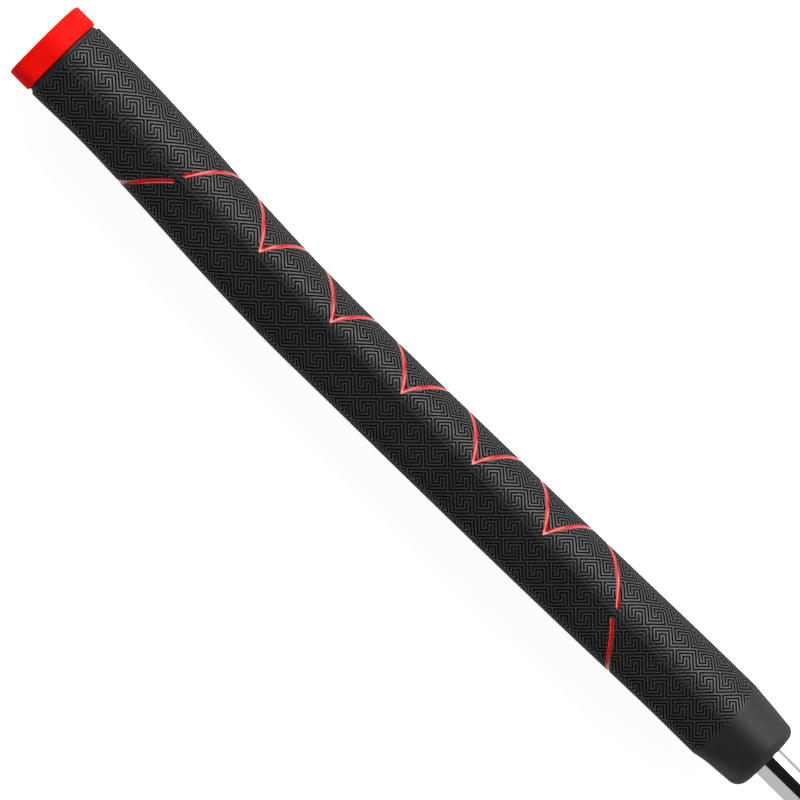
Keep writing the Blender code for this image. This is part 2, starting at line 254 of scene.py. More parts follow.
def front_points(x, v):
    reach = reach_at(x, False)
    ridge_y = -RIDGE_RADIUS * math.sin(SEAM_SLOPE)
    first = RIDGE_RADIUS * SEAM_SLOPE
    second = first + reach - FRONT_RADIUS + ridge_y
    third = second + FRONT_RADIUS * math.pi / 2
    ridge = SEAM_SLOPE - v / RIDGE_RADIUS
    corner = -(v - second) / FRONT_RADIUS
    zones = [v < first, v < second, v < third]
    centre = FRONT_RADIUS - reach
    y = np.select(
        zones,
        [
            ridge_y + RIDGE_RADIUS * np.sin(ridge),
            ridge_y - (v - first),
            centre + FRONT_RADIUS * np.sin(corner),
        ],
        -reach,
    )
    z = np.select(
        zones,
        [
            RIDGE_Z + RIDGE_RADIUS * np.cos(ridge),
            HALF_WIDTH + 0 * v,
            HALF_WIDTH - FRONT_RADIUS * (1 - np.cos(corner)),
        ],
        HALF_WIDTH - FRONT_RADIUS - (v - third),
    )
    return y, z, np.select(zones, [ridge, 0 * v, corner], -math.pi / 2)


def end_bowed(x, share):
    """Pulls the pattern's end at the collar back towards the middles of the front and back."""
    pull = smoothstep((x - COLLAR_X + 0.012) / 0.012) * smoothstep((COLLAR_X + 0.009 - x) / 0.009)
    return x - COLLAR_BOW * np.minimum(share, 1.0) ** 2 * pull


def on_surface(x, w, back_side, depth):
    """Points depth under the sleeve at x, w metres from the upper seam round one side of it."""
    x = np.asarray(x, float)
    w = np.asarray(w, float)
    quarter = quarter_at(x, back_side)
    lower = w > quarter
    v = np.where(lower, 2 * quarter - w, w)
    y, z, angle = back_points(x, v) if back_side else front_points(x, v)
    y = y - depth * np.sin(angle)
    z = z - depth * np.cos(angle)
    z = np.where(lower, -z, z)
    return np.stack([x + 0 * y, y, z], axis=-1)


# ---------------------------------------------------------------- mesh helpers

def add_piece(name, verts, faces, material, body, sharp=35.0):
    mesh = bpy.data.meshes.new(name)
    shifted = np.asarray(verts, float) + np.array(AXIS)
    mesh.from_pydata(shifted.tolist(), [], faces)
    mesh.validate()
    mesh.shade_smooth()
    mesh.set_sharp_from_angle(angle=math.radians(sharp))
    mesh.materials.append(material)
    made = bpy.data.objects.new(name, mesh)
    bpy.context.scene.collection.objects.link(made)
    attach(made, body)
    return made


def loop_faces(ring_count, ring_size, closed=True):
    """Quads between rings of points, each joined to the next, and the last to the first."""
    faces = []
    last = ring_count if closed else ring_count - 1
    for i in range(last):
        a = i * ring_size
        b = ((i + 1) % ring_count) * ring_size
        for j in range(ring_size):
            k = (j + 1) % ring_size
            faces.append((a + j, b + j, b + k, a + k))
    return faces


def turn_out(piece):
    """Makes a closed piece's faces point out of it."""
    work = bmesh.new()
    work.from_mesh(piece.data)
    bmesh.ops.recalc_face_normals(work, faces=work.faces)
    work.to_mesh(piece.data)
    work.free()


def add_rings(name, rings, material, body, sharp=35.0):
    """A closed solid from rings that run out along its outside and back along its inside."""
    verts = np.concatenate(rings)
    faces = loop_faces(len(rings), len(rings[0]))
    made = add_piece(name, verts, faces, material, body, sharp)
    turn_out(made)
    return made


def section_ring(x, depth):
    """The sleeve's outline at x, depth inside it, from the upper seam over the back and round."""
    shares = np.arange(2 * RING_QUARTER) / RING_QUARTER
    back = on_surface(x, shares * quarter_at(x, True), True, depth)
    front = on_surface(x, (2.0 - shares) * quarter_at(x, False), False, depth)
    return np.concatenate([back, front])


def circle_ring(x, radius, offset=0.0):
    angle = np.arange(4 * RING_QUARTER) * math.pi / 2 / RING_QUARTER
    y = offset + radius * np.sin(angle)
    return np.stack([0 * angle + x, y, radius * np.cos(angle)], axis=-1)


def blend_ring(a, b, share):
    return a + (b - a) * share


# ---------------------------------------------------------------- key pattern

def key_links():
    """Which lines of the cell are joined to the next along a row, and down a column."""
    along = np.zeros((KEY, KEY), bool)
    down = np.zeros((KEY, KEY), bool)
    along[0, :] = True
    for (row, column), (next_row, next_column) in zip(KEY_PATH, KEY_PATH[1:]):
        if row == next_row:
            for c in range(min(column, next_column), max(column, next_column)):
                along[row % KEY, c % KEY] = True
        else:
            for r in range(min(row, next_row), max(row, next_row)):
                down[r % KEY, column % KEY] = True
    return along, down


def cells_along():
    """Places along the grip and how many cells lie between its butt and each."""
    x = np.linspace(BUTT_X, 0.0, 1200)
    share = (x - CELL_START_X) / CELL_SPAN
    length = CELL_BUTT * (1 - CELL_SHRINK[0] * share - CELL_SHRINK[1] * share * share)
    count = np.concatenate([[0.0], np.cumsum(0.5 * (1 / length[1:] + 1 / length[:-1]) * np.diff(x))])
    count -= np.interp(CELL_START_X, x, count)
    return x, count + PHASE_ALONG


def bow_at(x):
    """How far the pattern's middle line lies behind the seam, so that it follows the bowed grip."""
    return (reach_at(x, True) - reach_at(x, False)) / 2


def pattern_to_sheet(row, column, back_side):
    """From places in the pattern, in lines, to (x, w): along the grip, and round it from the seam."""
    places, counts = cells_along()
    along = (column + row) / (2 * KEY)
    across = (column - row) / (2 * KEY)
    x = np.interp(along, counts, places, left=np.nan, right=np.nan)
    if back_side:
        return x, bow_at(np.nan_to_num(x)) + (across - PHASE_BACK) * CELL_ACROSS_BACK
    return x, -bow_at(np.nan_to_num(x)) - (across - PHASE_FRONT) * CELL_ACROSS_FRONT


def pattern_sheet(back_side):
    """The rolled-out key pattern of one half of the sleeve: points (x, w, height) and quads."""
    along, down = key_links()
    low, high = -9 * KEY, 33 * KEY
    rows = np.arange(low, high)
    grid_row, grid_column = np.meshgrid(rows, rows, indexing="ij")
    x, w = pattern_to_sheet(grid_row + 0.25, grid_column + 0.25, back_side)
    reach = 2 * quarter_at(np.nan_to_num(x), back_side)
    keep = (x > TEXTURE_START_X - SHEET_MARGIN) & (x < COLLAR_X + SHEET_MARGIN)
    keep &= (w > -SHEET_MARGIN) & (w < reach + SHEET_MARGIN)
    count = len(rows)
    signs = ((-1, -1), (-1, 1), (1, 1), (1, -1))
    verts = []
    for centre, width, height in ((0.25, TOP_WIDTH, 0.0), (0.75, FLOOR_WIDTH, -RELIEF)):
        for row_sign, column_sign in signs:
            px, pw = pattern_to_sheet(
                grid_row + centre + row_sign * width / 2,
                grid_column + centre + column_sign * width / 2,
                back_side,
            )
            verts.append(np.stack([px, pw, np.full_like(px, height)], axis=-1))
    verts = np.stack(verts, axis=2).reshape(-1, 3)
    index = (np.arange(count * count).reshape(count, count) * 8)[..., None] + np.arange(8)
    here = index[1:-1, 1:-1]
    right = index[1:-1, 2:]
    below = index[2:, 1:-1]
    above = index[:-2, 1:-1]
    left = index[1:-1, :-2]
    solid = keep[1:-1, 1:-1] & keep[1:-1, 2:] & keep[2:, 1:-1] & keep[:-2, 1:-1] & keep[1:-1, :-2]
    solid &= keep[2:, 2:] & keep[:-2, :-2] & keep[2:, :-2] & keep[:-2, 2:]
    row_in = grid_row[1:-1, 1:-1] % KEY
    column_in = grid_column[1:-1, 1:-1] % KEY
    joined_right = along[row_in, column_in]
    joined_down = down[row_in, column_in]

    def quads(mask, *corners):
        chosen = solid & mask
        return np.stack([corner[chosen] for corner in corners], axis=-1)

    every = np.ones_like(solid)
    parts = [
        quads(every, here[..., 0], here[..., 1], here[..., 2], here[..., 3]),
        quads(every, here[..., 4], here[..., 5], here[..., 6], here[..., 7]),
        quads(joined_right, here[..., 1], right[..., 0], right[..., 3], here[..., 2]),
        quads(joined_right, here[..., 1], above[..., 7], above[..., 6], right[..., 0]),
        quads(joined_right, here[..., 2], right[..., 3], here[..., 5], here[..., 4]),
        quads(~joined_right, above[..., 7], above[..., 6], here[..., 5], here[..., 4]),
        quads(~joined_right, here[..., 1], above[..., 7], here[..., 4], here[..., 2]),
        quads(~joined_right, right[..., 0], right[..., 3], here[..., 5], above[..., 6]),
        quads(joined_down, here[..., 3], here[..., 2], below[..., 1], below[..., 0]),
        quads(joined_down, here[..., 3], below[..., 0], left[..., 6], left[..., 5]),
        quads(joined_down, here[..., 2], here[..., 4], here[..., 7], below[..., 1]),
        quads(~joined_down, left[..., 5], left[..., 6], here[..., 7], here[..., 4]),
        quads(~joined_down, here[..., 3], left[..., 5], here[..., 4], here[..., 2]),
        quads(~joined_down, below[..., 0], below[..., 1], here[..., 7], left[..., 6]),
    ]
    faces = np.concatenate(parts)
    # Floor and wall faces get index 1, the darker rubber copy: painted shade in the grooves.
    deep = np.repeat([0, 1, 0, 1, 1, 1, 1, 1, 0, 1, 1, 1, 1, 1], [len(part) for part in parts])
    used, packed = np.unique(faces, return_inverse=True)
    return verts[used], packed.reshape(-1, 4), deep


def face_up(verts, faces):
    """Turns every quad so that it faces up on the rolled-out sheet."""
    a, b, c, d = (verts[faces[:, i], :2] for i in range(4))
    p = c - a
    q = d - b
    area = p[:, 0] * q[:, 1] - p[:, 1] * q[:, 0]
    turned = faces[:, ::-1]
    return np.where((area < 0)[:, None], turned, faces)


def trim(work, place, outward):
    everything = work.verts[:] + work.edges[:] + work.faces[:]
    bmesh.ops.bisect_plane(
        work, geom=everything, dist=1e-8, plane_co=place, plane_no=outward, clear_outer=True
    )


# ---------------------------------------------------------------- painted lines

def share_to_x(share):
    return BUTT_X + share * GRIP_LENGTH


def subdivided(knots, step):
    line = [knots[0]]
    for a, b in zip(knots, knots[1:]):
        steps = max(1, round((b - a).length / step))
        line.extend(a + (b - a) * i / steps for i in range(1, steps + 1))
    return line


def front_line(seam_share, bow, points):
    """A line over the front, from seam to seam, that bows along the grip in the middle."""
    seam_x = share_to_x(seam_share)
    reach = float(quarter_at(seam_x, False)) - SEAM_GAP
    line = []
    for i in range(points + 1):
        across = reach * (2 * i / points - 1)
        off_seam = 1 - (abs(across) / reach) ** FRONT_LINE_POWER
        line.append(Vector((seam_x + bow * off_seam, across)))
    return line


def lattice_knots():
    """The corners of a zigzag over the back, and of its mirror image, from seam to seam."""
    pitch = (LATTICE_LAST - LATTICE_FIRST) / (LATTICE_CORNERS - 1)
    side = 1
    start = share_to_x(LATTICE_BUTT)
    knots = [Vector((start, float(quarter_at(start, True)) - SEAM_GAP))]
    knots.append(Vector((share_to_x(LATTICE_BUTT + LATTICE_FIRST_FALL), 0.0)))
    for i in range(LATTICE_CORNERS):
        side = -side
        share = LATTICE_FIRST + pitch * i
        x = share_to_x(share)
        knots.append(Vector((share_to_x(share - LATTICE_RISE), 0.0)))
        knots.append(Vector((x, side * (float(quarter_at(x, True)) - LATTICE_VERTEX))))
        knots.append(Vector((share_to_x(share + LATTICE_FALL), 0.0)))
    end = share_to_x(LATTICE_MOUTH)
    knots.append(Vector((share_to_x(LATTICE_MOUTH - LATTICE_LAST_RISE), 0.0)))
    knots.append(Vector((end, side * (SEAM_GAP - float(quarter_at(end, True))))))
    return knots, [Vector((knot[0], -knot[1])) for knot in knots]


def round_ended(line, half):
    """The line with closer points at its ends, and a half-width for each that rounds them off."""
    inner = []
    halves = []
    for share in (0.0, 0.12, 0.35, 0.65):
        inner.append(line[0] + (line[1] - line[0]).normalized() * half * share)
        halves.append(half * math.sqrt(max(1 - (1 - share) ** 2, 0.04)))
    tail = []
    for share in (0.65, 0.35, 0.12, 0.0):
        tail.append(line[-1] + (line[-2] - line[-1]).normalized() * half * share)
    middle = [p for p in line if (p - line[0]).length > half and (p - line[-1]).length > half]
    points = inner + middle + tail
    return points, halves + [half] * len(middle) + halves[::-1]


def ribbon_sides(line, halves):
    """Points on the left and right of a line, mitred where it turns."""
    left = []
    right = []
    for i, point in enumerate(line):
        before = (point - line[i - 1]).normalized() if i else (line[1] - point).normalized()
        after = (line[i + 1] - point).normalized() if i + 1 < len(line) else before
        normal = Vector((-before[1] - after[1], before[0] + after[0])).normalized()
        reach = halves[i] / normal.dot(Vector((-before[1], before[0])))
        left.append(point + normal * reach)
        right.append(point - normal * reach)
    return left, right


def inside(point, corners):
    """Whether a point lies in a four-cornered shape, on the rolled-out sheet."""
    sign = 0
    for a, b in zip(corners, (*corners[1:], corners[0])):
        turn = (b[0] - a[0]) * (point[1] - a[1]) - (b[1] - a[1]) * (point[0] - a[0])
        if abs(turn) < 1e-14:
            continue
        if sign and (turn > 0) != (sign > 0):
            return False
        sign = 1 if turn > 0 else -1
    return True


def cut_line(work, line, halves):
    """Cuts a line's outline into the sheet and removes what lies inside it."""
    left, right = ribbon_sides(line, halves)
    low = np.array([min(p[i] for p in left + right) for i in (0, 1)]) - 0.003
    high = np.array([max(p[i] for p in left + right) for i in (0, 1)]) + 0.003
    near = set()
    for face in work.faces:
        place = face.calc_center_median()
        if low[0] < place.x < high[0] and low[1] < place.y < high[1]:
            near.add(face)
    sides = [(left[0], right[0])]
    for i in range(len(line) - 1):
        sides.append((left[i], left[i + 1]))
        sides.append((right[i], right[i + 1]))
    sides.append((left[-1], right[-1]))
    for a, b in sides:
        middle = (a + b) / 2
        reach = (b - a).length / 2 + 0.0009
        chosen = []
        for face in near:
            if face.is_valid:
                place = face.calc_center_median()
                if math.hypot(place.x - middle[0], place.y - middle[1]) < reach:
                    chosen.append(face)
        edges = {edge for face in chosen for edge in face.edges}
        points = {vert for face in chosen for vert in face.verts}
        normal = Vector((a[1] - b[1], b[0] - a[0], 0.0)).normalized()
        cut = bmesh.ops.bisect_plane(
            work, geom=chosen + list(edges) + list(points), dist=1e-8,
            plane_co=(a[0], a[1], 0.0), plane_no=normal,
        )
        near |= {thing for thing in cut["geom"] if isinstance(thing, bmesh.types.BMFace)}
    shapes = [(left[i], right[i], right[i + 1], left[i + 1]) for i in range(len(line) - 1)]
    gone = []
    for face in near:
        if not face.is_valid:
            continue
        place = face.calc_center_median()
        for shape in shapes:
            if abs(place.x - shape[0][0]) < 0.03 and inside(place, shape):
                gone.append(face)
                break
    bmesh.ops.delete(work, geom=gone, context="FACES")


def groove_walls(work, back_side):
    """Walls down from the edges that the lines left in the sheet."""
    open_edges = [edge for edge in work.edges if edge.is_boundary]
    middles = np.array([((edge.verts[0].co + edge.verts[1].co) / 2)[:] for edge in open_edges])
    inner = np.abs(middles[:, 1]) < quarter_at(middles[:, 0], back_side) - 0.0002
    inner &= (middles[:, 0] > TEXTURE_START_X + 0.002) & (middles[:, 0] < COLLAR_X - 0.002)
    rim = [open_edges[i] for i in np.nonzero(inner)[0]]
    lower = {}
    for edge in rim:
        for vert in edge.verts:
            if vert not in lower:
                lower[vert] = work.verts.new((vert.co.x, vert.co.y, -GROOVE_DEPTH))
    for edge in rim:
        face = edge.link_faces[0]
        loop = next(loop for loop in face.loops if loop.edge == edge)
        a = loop.vert
        b = loop.link_loop_next.vert
        work.faces.new((b, a, lower[a], lower[b]))


def relief_share(x, w, back_side):
    """How deep the pattern is, from 0 at the seams and at its two ends to 1."""
    fade = SEAM_FADE_BACK if back_side else SEAM_FADE_FRONT
    from_seam = np.minimum(w, 2 * quarter_at(x, back_side) - w)
    share = smoothstep((from_seam - fade[0]) / (fade[1] - fade[0]))
    share = share * smoothstep((x - TEXTURE_START_X) / END_FADE)
    return share * smoothstep((COLLAR_X - x) / (END_FADE / 2))


def add_skin(back_side, lines, material, recess_shade_material):
    """The patterned rubber of one half of the sleeve, in two pieces; its groove floors and walls take
    a darker, duller copy of the rubber, which is painted shade.
    """
    verts, faces, deep = pattern_sheet(back_side)
    faces = face_up(verts, faces)
    full = 2 * quarter_at(verts[:, 0], back_side)
    verts[:, 1] = verts[:, 1] / full
    mesh = bpy.data.meshes.new("sheet")
    mesh.from_pydata(verts.tolist(), [], faces.tolist())
    mesh.polygons.foreach_set("material_index", deep)
    work = bmesh.new()
    work.from_mesh(mesh)
    bpy.data.meshes.remove(mesh)
    trim(work, (TEXTURE_START_X, 0, 0), (-1, 0, 0))
    trim(work, (COLLAR_X, 0, 0), (1, 0, 0))
    trim(work, (0, 0, 0), (0, -1, 0))
    trim(work, (0, 1, 0), (0, 1, 0))
    halves = quarter_at([vert.co.x for vert in work.verts], back_side)
    for vert, half in zip(work.verts, halves.tolist()):
        vert.co.y = half * (1 - 2 * vert.co.y)
    for line in lines:
        cut_line(work, *round_ended(line, LINE_WIDTH / 2 + PAINT_CLEARANCE))
    groove_walls(work, back_side)
    work.verts.index_update()
    flat = np.array([vert.co[:] for vert in work.verts])
    polygons = [[vert.index for vert in face.verts] for face in work.faces]
    middles = np.array([face.calc_center_median()[1] for face in work.faces])
    deep = np.array([face.material_index for face in work.faces])
    work.free()
    x = flat[:, 0]
    w = quarter_at(x, back_side) - flat[:, 1]
    height = flat[:, 2]
    patterned = height > -1.5 * RELIEF
    height = np.where(patterned, height * relief_share(x, w, back_side), height)
    from_seam = np.minimum(w, 2 * quarter_at(x, back_side) - w)
    height = height - SEAM_DIP * (1 - smoothstep(from_seam / 0.0004))
    x = end_bowed(x, from_seam / quarter_at(x, back_side))
    solid = on_surface(x, w, back_side, -height)
    side = "back" if back_side else "front"
    for half, mask in (("upper", middles > 0), ("lower", middles <= 0)):
        chosen = [polygons[i] for i in np.nonzero(mask)[0]]
        if back_side:
            chosen = [polygon[::-1] for polygon in chosen]
        used = sorted({i for polygon in chosen for i in polygon})
        lookup = {old: new for new, old in enumerate(used)}
        packed = [[lookup[i] for i in polygon] for polygon in chosen]
        piece = add_piece(
            f"patterned_{side}_{half}", solid[used], packed, material, "grip"
        )
        # Groove floors and walls get the darker copy of the rubber: painted shade in the recesses.
        piece.data.materials.append(recess_shade_material)
        piece.data.polygons.foreach_set("material_index", deep[mask])
        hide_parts("grip_body")


def add_paint(name, node, lines, back_side, material):
    """Glossy paint that lies hollow in its groove."""
    centres = [np.array([p[:] for p in line]) for line in lines]
    half = LINE_WIDTH / 2
    for number, line in enumerate(lines):
        points, halves = round_ended(line, half)
        left, right = ribbon_sides(points, halves)
        left = np.array([p[:] for p in left])
        right = np.array([p[:] for p in right])
        shares = np.linspace(0, 1, PAINT_COLUMNS + 1)
        grid = left[:, None, :] + (right - left)[:, None, :] * shares[None, :, None]
        flat = grid.reshape(-1, 2)
        off = np.full(len(flat), 1e9)
        for centre in centres:
            off = np.minimum(off, distance_to_line(flat, centre))
        hollow = np.clip(1 - (off / half) ** 2, 0, 1)
        depth = PAINT_EDGE_DEPTH + PAINT_HOLLOW * hollow + 0.000006 * number
        w = quarter_at(flat[:, 0], back_side) - flat[:, 1]
        top = on_surface(flat[:, 0], w, back_side, depth)
        bottom = on_surface(flat[:, 0], w, back_side, PAINT_BOTTOM + 0 * depth)
        count, columns = grid.shape[:2]
        faces = []
        total = len(flat)
        for i in range(count - 1):
            for j in range(columns - 1):
                a = i * columns + j
                faces.append((a, a + 1, a + columns + 1, a + columns))
                faces.append(tuple(total + k for k in (a, a + columns, a + columns + 1, a + 1)))
            a = i * columns
            faces.append((a, a + columns, total + a + columns, total + a))
            b = a + columns - 1
            faces.append((b + columns, b, total + b, total + b + columns))
        for j in range(columns - 1):
            faces.append((j + 1, j, total + j, total + j + 1))
            k = (count - 1) * columns + j
            faces.append((k, k + 1, total + k + 1, total + k))
        full_name = name if len(lines) == 1 else f"{name}_{number + 1}"
        piece = add_piece(
            full_name, np.concatenate([top, bottom]), faces, material, "grip", 50.0
        )
        turn_out(piece)
        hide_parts(node)


def distance_to_line(points, line):
    best = np.full(len(points), 1e9)
    for a, b in zip(line, line[1:]):
        along = b - a
        share = np.clip(((points - a) @ along) / (along @ along), 0, 1)
        best = np.minimum(best, np.linalg.norm(points - (a + share[:, None] * along), axis=1))
    return best


# ---------------------------------------------------------------- materials

def principled(name, colour, roughness, metallic=0.0):
    made = bpy.data.materials.new(name)
    made.use_nodes = True
    shader = made.node_tree.nodes["Principled BSDF"]
    shader.inputs["Base Color"].default_value = (*colour, 1.0)
    shader.inputs["Roughness"].default_value = roughness
    shader.inputs["Metallic"].default_value = metallic
    return made, shader


def node(material, kind, **settings):
    made = material.node_tree.nodes.new(kind)
    for key, value in settings.items():
        setattr(made, key, value)
    return made


def noise(material, scale, detail=3.0, roughness=0.5, stretch=(1, 1, 1)):
    tree = material.node_tree
    place = node(material, "ShaderNodeTexCoord")
    mapping = node(material, "ShaderNodeMapping")
    mapping.inputs["Scale"].default_value = stretch
    made = node(material, "ShaderNodeTexNoise")
    made.inputs["Scale"].default_value = scale
    made.inputs["Detail"].default_value = detail
    made.inputs["Roughness"].default_value = roughness
    tree.links.new(place.outputs["Object"], mapping.inputs["Vector"])
    tree.links.new(mapping.outputs["Vector"], made.inputs["Vector"])
    return made.outputs["Fac"]


def spread(material, source, low, high, from_low=0.3, from_high=0.7):
    made = node(material, "ShaderNodeMapRange")
    made.inputs["From Min"].default_value = from_low
    made.inputs["From Max"].default_value = from_high
    made.inputs["To Min"].default_value = low
    made.inputs["To Max"].default_value = high
    material.node_tree.links.new(source, made.inputs["Value"])
    return made.outputs["Result"]


def mix_colours(material, source, first, second):
    made = node(material, "ShaderNodeMix", data_type="RGBA")
    made.inputs[6].default_value = (*first, 1.0)
    made.inputs[7].default_value = (*second, 1.0)
    material.node_tree.links.new(source, made.inputs[0])
    return made.outputs[2]


def bump(material, shader, source, distance, strength=1.0):
    made = node(material, "ShaderNodeBump")
    made.inputs["Distance"].default_value = distance
    made.inputs["Strength"].default_value = strength
    material.node_tree.links.new(source, made.inputs["Height"])
    material.node_tree.links.new(made.outputs["Normal"], shader.inputs["Normal"])


def facing_rough(material, source, amount):
    """Roughness that grows towards grazing views, as fine rubber's does."""
    edge = node(material, "ShaderNodeLayerWeight")
    edge.inputs["Blend"].default_value = 0.3
    added = node(material, "ShaderNodeMath", operation="MULTIPLY_ADD", use_clamp=True)
    added.inputs[1].default_value = amount
    material.node_tree.links.new(edge.outputs["Facing"], added.inputs[0])
    material.node_tree.links.new(source, added.inputs[2])
    return added.outputs["Value"]


def rubber_material(name, dark, light, rough_low, rough_high, grain, level):
    made, shader = principled(name, dark, rough_low)
    shader.inputs["Specular IOR Level"].default_value = level
    patches = noise(made, 60.0, 4.0, 0.6)
    colour = mix_colours(made, spread(made, patches, 0.0, 1.0), dark, light)
    made.node_tree.links.new(colour, shader.inputs["Base Color"])
    rough = spread(made, noise(made, 900.0, 3.0), rough_low, rough_high)
    made.node_tree.links.new(facing_rough(made, rough, 0.5), shader.inputs["Roughness"])
    bump(made, shader, noise(made, 7000.0, 2.0), grain, 0.6)
    return made


def paint_material():
    made, shader = principled("red_groove_paint", (0.34, 0.002, 0.003), 0.16)
    shader.inputs["Specular IOR Level"].default_value = 0.5
    runs = noise(made, 500.0, 3.0)
    dark, light = (0.28, 0.001, 0.002), (0.40, 0.003, 0.004)
    colour = mix_colours(made, spread(made, runs, 0.0, 1.0), dark, light)
    made.node_tree.links.new(colour, shader.inputs["Base Color"])
    rough = spread(made, noise(made, 1500.0, 2.0), 0.14, 0.26)
    made.node_tree.links.new(rough, shader.inputs["Roughness"])
    bump(made, shader, noise(made, 1200.0, 2.0), 0.00002, 0.5)
    return made


def chrome_material():
    made, shader = principled("chromed_steel", (0.86, 0.87, 0.88), 0.05, 1.0)
    rings = noise(made, 1800.0, 2.0, 0.5, (1.0, 0.06, 0.06))
    rough = spread(made, rings, 0.03, 0.09)
    made.node_tree.links.new(rough, shader.inputs["Roughness"])
    return made


def tape_material():
    made, shader = principled("masking_tape", (0.60, 0.50, 0.34), 0.7)
    fibres = noise(made, 1500.0, 4.0, 0.6, (1.0, 0.25, 0.25))
    dark, light = (0.50, 0.41, 0.27), (0.70, 0.60, 0.43)
    colour = mix_colours(made, spread(made, fibres, 0.0, 1.0), dark, light)
    made.node_tree.links.new(colour, shader.inputs["Base Color"])
    rough = spread(made, fibres, 0.6, 0.8)
    made.node_tree.links.new(rough, shader.inputs["Roughness"])
    bump(made, shader, noise(made, 3000.0, 3.0, 0.6, (1.0, 0.2, 0.2)), 0.00004, 0.8)
    return made


# ---------------------------------------------------------------- pieces

def add_core(material):
    """Neck, shoulder, collar, nose and bore, which run on unseen under the patterned rubber."""
    rings = [section_ring(BODY_START_X, NECK_INSET), section_ring(SHOULDER_X, NECK_INSET)]
    for i in range(SHOULDER_STEPS + 1):
        angle = math.pi / 2 * i / SHOULDER_STEPS
        x = SHOULDER_X + SHOULDER_RADIUS * (1 - math.cos(angle))
        rings.append(section_ring(x, SHOULDER_RADIUS * (1 - math.sin(angle))))
    rings.append(section_ring(TEXTURE_START_X + 0.0002, 0.00012))
    quarter = np.arange(RING_QUARTER) / RING_QUARTER
    bow = np.tile(np.concatenate([quarter, 1.0 - quarter]), 2)
    stations = np.linspace(TEXTURE_START_X + 0.0006, COLLAR_X - 0.0006, CORE_STATIONS)
    for x in stations:
        rings.append(section_ring(x, UNDER_SKIN))
        rings[-1][:, 0] = end_bowed(x, bow)
    rings.append(section_ring(COLLAR_X - 0.0002, 0.00008))
    rings[-1][:, 0] = end_bowed(COLLAR_X - 0.0002, bow)
    collar = section_ring(COLLAR_X, 0.0)
    for i in range(COLLAR_STEPS + 1):
        share = i / COLLAR_STEPS
        x = COLLAR_X + (COLLAR_LENGTH - NOSE_RADIUS) * share
        mouth = circle_ring(x, MOUTH_RADIUS, MOUTH_OFFSET)
        flat = collar.copy()
        flat[:, 0] = x
        rings.append(blend_ring(flat, mouth, share))
        rings[-1][:, 0] = end_bowed(x, bow)
    for i in range(1, NOSE_STEPS + 1):
        angle = math.pi / 2 * i / NOSE_STEPS
        radius = MOUTH_RADIUS - NOSE_RADIUS * (1 - math.cos(angle))
        x = -NOSE_RADIUS * (1 - math.sin(angle))
        rings.append(circle_ring(x, radius, MOUTH_OFFSET * (1 - i / NOSE_STEPS)))
    rings.append(circle_ring(-0.0001, BORE_RADIUS + 0.00003))
    rings.append(circle_ring(-0.0004, BORE_RADIUS))
    rings.append(circle_ring(BODY_START_X, BORE_RADIUS))
    piece = add_rings("sleeve_core", rings, material, "grip", 50.0)
    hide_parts("grip_body")


def add_flash(material):
    """The mould's parting lines: fine raised threads of rubber along both seams."""
    profile = (
        (False, 0.00024, -0.00006), (False, 0.00013, 0.00001), (False, 0.00006, 0.00005),
        (True, 0.00006, 0.00005), (True, 0.00013, 0.00001), (True, 0.00024, -0.00006),
    )
    stations = np.linspace(TEXTURE_START_X, COLLAR_X + 0.0004, FINE_STATIONS)
    swell = 0.55 + 0.25 * np.sin(stations * 190.0) + 0.2 * np.sin(stations * 517.0 + 1.0)
    swell *= 1.0 - 0.55 * smoothstep((stations + 0.21) / 0.03)
    for name, lower in (("parting_line_upper", False), ("parting_line_lower", True)):
        rows = []
        for back_side, w, height in profile:
            lift = np.where(height > 0, height * swell, height)
            row = on_surface(stations, np.full_like(stations, w), back_side, -lift)
            rows.append(row)
        for back_side in (True, False):
            row = on_surface(stations, np.full_like(stations, 0.00010), back_side, 0.00025)
            rows.append(row)
        grid = np.stack(rows, axis=1)
        if lower:
            grid[..., 2] *= -1
        count, columns = grid.shape[:2]
        faces = loop_faces(count, columns, closed=False)
        faces.append(tuple(range(columns)))
        faces.append(tuple(reversed([(count - 1) * columns + i for i in range(columns)])))
        piece = add_piece(name, grid.reshape(-1, 3), faces, material, "grip", 60.0)
        turn_out(piece)
        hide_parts("grip_body")


def add_cap(material):
    """The cap's disc with a shallow dish round its vent hole, and its spigot."""
    rings = [circle_ring(BUTT_X + DISH_DEPTH + 0.0003, VENT_RADIUS)]
    rings.append(circle_ring(BUTT_X + DISH_DEPTH, VENT_RADIUS + 0.0003))
    rings.append(circle_ring(BUTT_X + DISH_DEPTH, DISH_RADIUS - 0.0004))
    rings.append(circle_ring(BUTT_X + DISH_DEPTH * 0.3, DISH_RADIUS - 0.0001))
    rings.append(circle_ring(BUTT_X, DISH_RADIUS + 0.0002))
    for i in range(CAP_EDGE_STEPS + 1):
        angle = math.pi / 2 * i / CAP_EDGE_STEPS
        ring = section_ring(BUTT_X, CAP_EDGE_RADIUS * (1 - math.sin(angle)))
        ring[:, 0] = BUTT_X + CAP_EDGE_RADIUS * (1 - math.cos(angle))
        rings.append(ring)
    for i in range(CAP_EDGE_STEPS + 1):
        angle = math.pi / 2 * i / CAP_EDGE_STEPS
        ring = section_ring(BUTT_X, CAP_EDGE_RADIUS * (1 - math.cos(angle)))
        ring[:, 0] = CAP_INNER_X - CAP_EDGE_RADIUS * (1 - math.sin(angle))
        rings.append(ring)
    end_x = CAP_INNER_X + SPIGOT_LENGTH
    rings.append(circle_ring(CAP_INNER_X, BORE_RADIUS - TOUCH))
    rings.append(circle_ring(end_x - SPIGOT_CHAMFER, BORE_RADIUS - TOUCH))
    rings.append(circle_ring(end_x, BORE_RADIUS - TOUCH - SPIGOT_CHAMFER))
    rings.append(circle_ring(end_x, VENT_RADIUS))
    piece = add_rings("butt_cap", rings, material, "grip", 40.0)
    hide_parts("end_cap")


